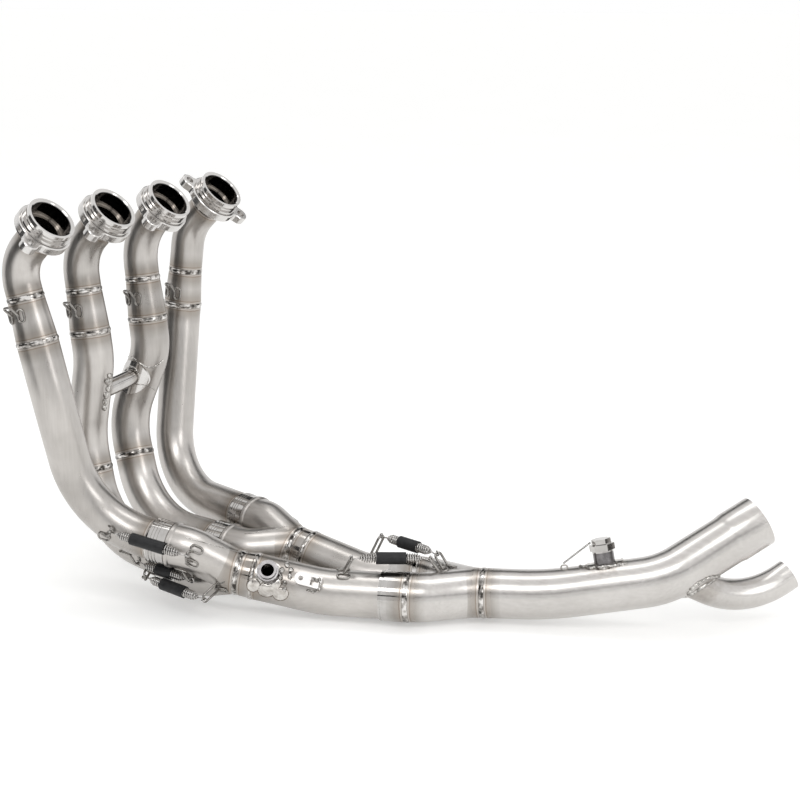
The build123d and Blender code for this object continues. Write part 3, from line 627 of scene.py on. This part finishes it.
cameraPlace = {
    "place": (1.0197, -1.1040, 0.2011), "turn": (75.72, 0, 30.42),
    "lens": 72, "sensor": 36, "frame": 800,
}
seams = {
    "saddle_upper_weld": {"on": ("down_tube_3", "crossover_saddle"), "size": 0.0022, "ragged": 0.0010,
                          "line": ((126, 356), (133, 357.5), (143, 366), (153, 368.5), (163, 360))},
    "saddle_lower_weld": {"on": ("down_tube_3", "crossover_saddle"), "size": 0.0012, "ragged": 0.0006,
                          "line": ((128, 385), (140, 384), (150, 386), (155, 390))},
    "tab_weld": {"on": ("near_secondary", "tab_bracket"), "size": 0.0018, "ragged": 0.0010,
                 "line": ((312, 578), (319, 578.5), (320, 584), (317.5, 591), (309, 590.5))},
    "plug_pad_weld": {"on": ("final_pipe", "plug_pad"), "size": 0.0030, "ragged": 0.0024,
                      "line": ((580, 566), (590, 568.5), (600, 567), (610, 566), (618, 565.5), (627, 563))},
    "branch_weld": {"on": ("final_pipe", "branch_pipe"), "size": 0.0036, "ragged": 0.0028,
                    "line": ((688, 594), (692, 588), (700, 582), (710, 577), (719, 576))},
    "near_leg_seam": {"on": ("near_merge",), "size": 0.0008, "ragged": 0.0002,
                      "line": ((185, 537.5), (205, 543), (225, 548.5), (244.7, 553.5))},
    "far_leg_seam": {"on": ("far_merge",), "size": 0.0008, "ragged": 0.0002,
                     "line": ((244.6, 534), (260, 532), (275, 529), (287.5, 526))},
}
seamShape = {"spacing": 0.8, "rounding": 3}
cameraTurn = [radians(angle) for angle in cameraPlace["turn"]]


def castPixel(names, pixel):
    # the nearest point of the named nodes that the camera sees in this pixel
    frameSize, lens = cameraPlace["frame"], cameraPlace["lens"]
    share = cameraPlace["sensor"] / lens / frameSize
    local = Vector(((pixel[0] - frameSize / 2) * share, (frameSize / 2 - pixel[1]) * share, -1))
    aim = Euler(cameraTurn).to_matrix() @ local
    start = Vector(cameraPlace["place"])
    hits = []
    for name in names:
        found, place = nodes[name].ray_cast(start, aim.normalized())[:2]
        if found:
            hits.append(((place - start).length, place))
    return min(hits)[1] if hits else None


def smoothLine(line):
    line = [Vector(point) for point in line]
    for repeat in range(seamShape["rounding"]):
        rounded = [line[0]]
        for first, last in zip(line, line[1:]):
            rounded += [first.lerp(last, 0.25), first.lerp(last, 0.75)]
        line = rounded + [line[-1]]
    return line


def makeSeam(name, seam):
    points = []
    line = smoothLine(seam["line"])
    for first, last in zip(line, line[1:]):
        count = max(1, int((last - first).length / seamShape["spacing"]))
        for step in range(count):
            place = castPixel(seam["on"], first.lerp(last, step / count))
            if place is not None:
                points.append(place)
    piece = makeWire(name, points, seam["size"])
    roughen(piece, seam["ragged"], beadMetal)


for name, seam in seams.items():
    makeSeam(name, seam)
print("seams laid")


# lumps of weld: each is a low dome laid on its tube, given by its middle and half sizes in the photo

lumpGroups = {
    "sensor_petals": {
        "on": ("near_reducer", "near_secondary", "sensor_pad"),
        "height": 0.0014, "ragged": 0.0006, "outline": 0.0007,
        "domes": ((253.2, 585, 6.6, 7.0), (280.5, 594, 8.0, 6.6), (267, 589.5, 9.6, 7.6),
                  (275, 583, 6, 6.6)),
    },
    "sensor_lumps": {
        "on": ("near_secondary", "sensor_pad"),
        "height": 0.0026, "ragged": 0.0016, "outline": 0,
        "domes": ((282, 570, 2.6, 3.4), (280.6, 577, 2.4, 3.6), (284.6, 583, 2.6, 3.2),
                  (284.5, 589.5, 2.2, 2.6), (287, 564.5, 2.6, 3), (291, 569.5, 2.8, 2.8),
                  (289.8, 576, 2.4, 3.4)),
    },
    "tab_lumps": {
        "on": ("near_secondary", "tab_bracket"),
        "height": 0.0018, "ragged": 0.0010, "outline": 0,
        "domes": ((308.5, 590.5, 2.4, 1.5), (313, 592, 2.6, 1.6), (317.6, 590.5, 2.2, 1.8),
                  (320.2, 585.5, 1.4, 2.6), (319.6, 579.5, 1.7, 1.8)),
    },
    "tube_repair_lumps": {
        "on": ("down_tube_2",),
        "height": 0.0022, "ragged": 0.0014, "outline": 0,
        "domes": ((110, 376, 2.8, 3), (107.5, 382, 3, 3.6), (108.5, 389, 2.6, 3.4), (106, 395.5, 2.6, 3.6),
                  (105, 402, 2.4, 3.6), (104.5, 408, 2.4, 3)),
    },
}
domeShape = {
    "segments": 20, "rings": 10, "ringPoints": 28,
    "under": 0.4,  # the half below the tube's skin is this deep, as a share of the half above
}


def makeDome(group, dome):
    across, down, halfWidth, halfHeight = dome
    bpy.ops.object.select_all(action="DESELECT")
    bpy.ops.mesh.primitive_uv_sphere_add(segments=domeShape["segments"], ring_count=domeShape["rings"],
                                         radius=1, location=(0, 0, 0))
    piece = bpy.context.object
    middle = castPixel(group["on"], (across, down))
    toCamera = (Vector(cameraPlace["place"]) - middle).normalized()
    for vertex in piece.data.vertices:
        x, y, z = vertex.co
        spot = castPixel(group["on"], (across + x * halfWidth, down + y * halfHeight))
        if spot is None:
            spot = middle
        lift = z if z > 0 else z * domeShape["under"]
        vertex.co = spot + toCamera * lift * group["height"]
    bpy.ops.object.mode_set(mode="EDIT")
    bpy.ops.mesh.select_all(action="SELECT")
    bpy.ops.mesh.normals_make_consistent(inside=False)
    bpy.ops.object.mode_set(mode="OBJECT")
    bpy.ops.object.shade_smooth()
    return piece


def domeOutline(name, group, dome):
    across, down, halfWidth, halfHeight = dome
    points = []
    for step in range(domeShape["ringPoints"]):
        angle = 2 * pi * step / domeShape["ringPoints"]
        spot = castPixel(group["on"], (across + halfWidth * cos(angle), down + halfHeight * sin(angle)))
        if spot is not None:
            points.append(spot)
    roughen(makeWire(name, points, group["outline"], closed=True), group["ragged"], scorchedMetal)


petalMetal = metalMaterial("petalMetal", padFinish)
for name, group in lumpGroups.items():
    domes = [makeDome(group, dome) for dome in group["domes"]]
    bpy.ops.object.select_all(action="DESELECT")
    for dome in domes:
        dome.select_set(True)
    bpy.context.view_layer.objects.active = domes[0]
    bpy.ops.object.join()
    domes[0].name = name
    roughen(domes[0], group["ragged"], petalMetal if group["outline"] else beadMetal)
    if group["outline"]:
        for number, dome in enumerate(group["domes"], 1):
            domeOutline("petal_edge_" + str(number), group, dome)
print("weld lumps laid")


# camera, floor, lamps and background

bpy.ops.object.select_all(action="DESELECT")
bpy.ops.object.camera_add(location=cameraPlace["place"], rotation=cameraTurn)
camera = bpy.context.object
camera.data.lens = cameraPlace["lens"]
camera.data.sensor_width = cameraPlace["sensor"]
bpy.context.scene.camera = camera

floorLook = {
    "size": 90, "cells": 8, "middle": (0.27, 0.13), "drop": 0.0015,
    "color": (0.86, 0.86, 0.85, 1), "dust": (0.82, 0.82, 0.81, 1), "patches": (3, 3.0),
    "rough": 0.9, "lift": 0.30,  # lift brightens the floor for the camera and for gloss only
}
bpy.ops.mesh.primitive_grid_add(x_subdivisions=floorLook["cells"], y_subdivisions=floorLook["cells"],
                                size=floorLook["size"],
                                location=(*floorLook["middle"], cadLow.z - floorLook["drop"]))
floor = bpy.context.object
floor.name = "floor"
floorMaterial, tree, shader, position = newMaterial("paleFloor")
shade = noiseNode(tree, position, *floorLook["patches"])
tree.links.new(mixNode(tree, shade, floorLook["dust"], floorLook["color"]), shader.inputs["Base Color"])
shader.inputs["Roughness"].default_value = floorLook["rough"]
shader.inputs["Emission Color"].default_value = (1, 1, 1, 1)
lift = mathNode(tree, "MULTIPLY", seenNode(tree), floorLook["lift"])
tree.links.new(lift, shader.inputs["Emission Strength"])
floor.data.materials.append(floorMaterial)

worldLook = {"ambient": 0.80}  # white to the camera and in reflections, this strong as plain light
world = bpy.data.worlds.new("studio")
bpy.context.scene.world = world
world.use_nodes = True
tree = world.node_tree
background = tree.nodes["Background"]
background.inputs["Color"].default_value = (1, 1, 1, 1)
strength = mathNode(tree, "MULTIPLY_ADD", seenNode(tree), 1 - worldLook["ambient"], worldLook["ambient"])
tree.links.new(strength, background.inputs["Strength"])

lamps = {
    "keyLamp": {"place": (0.9, -1.6, 1.7), "aim": (0.25, 0.15, -0.25), "size": (1.5, 0.7), "power": 12},
    "topLamp": {"place": (0.2, 0.5, 1.9), "aim": (0.25, 0.15, -0.3), "size": (1.6, 0.5), "power": 6},
    "sideLamp": {"place": (2.4, -0.3, 0.8), "aim": (0.2, 0.1, -0.2), "size": (0.7, 1.4), "power": 7},
}
for name, lamp in lamps.items():
    place, aim = Vector(lamp["place"]), Vector(lamp["aim"])
    bpy.ops.object.light_add(type="AREA", location=place)
    light = bpy.context.object
    light.name = name
    light.rotation_euler = (aim - place).to_track_quat("-Z", "Y").to_euler()
    light.data.shape = "RECTANGLE"
    light.data.size, light.data.size_y = lamp["size"]
    light.data.energy = lamp["power"]

# dark cards, unseen by the camera, that the tubes reflect as their darker edges
cardLook = {"light": (0.08, 0.08, 0.08, 1), "dark": (0.05, 0.05, 0.05, 1), "patches": 4, "rough": 1.0}
cards = {
    "leftCard": {"place": (-0.66, -0.68, 0.05), "aim": (-0.04, 0.13, 0.05), "size": (1.0, 1.0)},
    "topCard": {"place": (0.15, 0.968, 0.24), "aim": (0.4, 0.288, -0.42), "size": (1.8, 0.35)},
    "frontCard": {"place": (0.90, -0.91, 0.12), "aim": (0.25, 0.13, -0.3), "size": (2.4, 0.13)},
}
cardMaterial, tree, shader, position = newMaterial("darkCard")
shade = noiseNode(tree, position, cardLook["patches"])
tree.links.new(mixNode(tree, shade, cardLook["dark"], cardLook["light"]), shader.inputs["Base Color"])
shader.inputs["Roughness"].default_value = cardLook["rough"]
for name, card in cards.items():
    place, aim = Vector(card["place"]), Vector(card["aim"])
    bpy.ops.mesh.primitive_plane_add(size=1, location=place)
    panel = bpy.context.object
    panel.name = name
    panel.rotation_euler = (aim - place).to_track_quat("-Z", "Y").to_euler()
    panel.scale = (*card["size"], 1)
    panel.visible_camera = False
    panel.visible_diffuse = False
    panel.visible_shadow = False
    panel.data.materials.append(cardMaterial)
print("camera, floor, lamps and cards placed")

bpy.context.scene.view_settings.view_transform = "Standard"

print("scene ready")
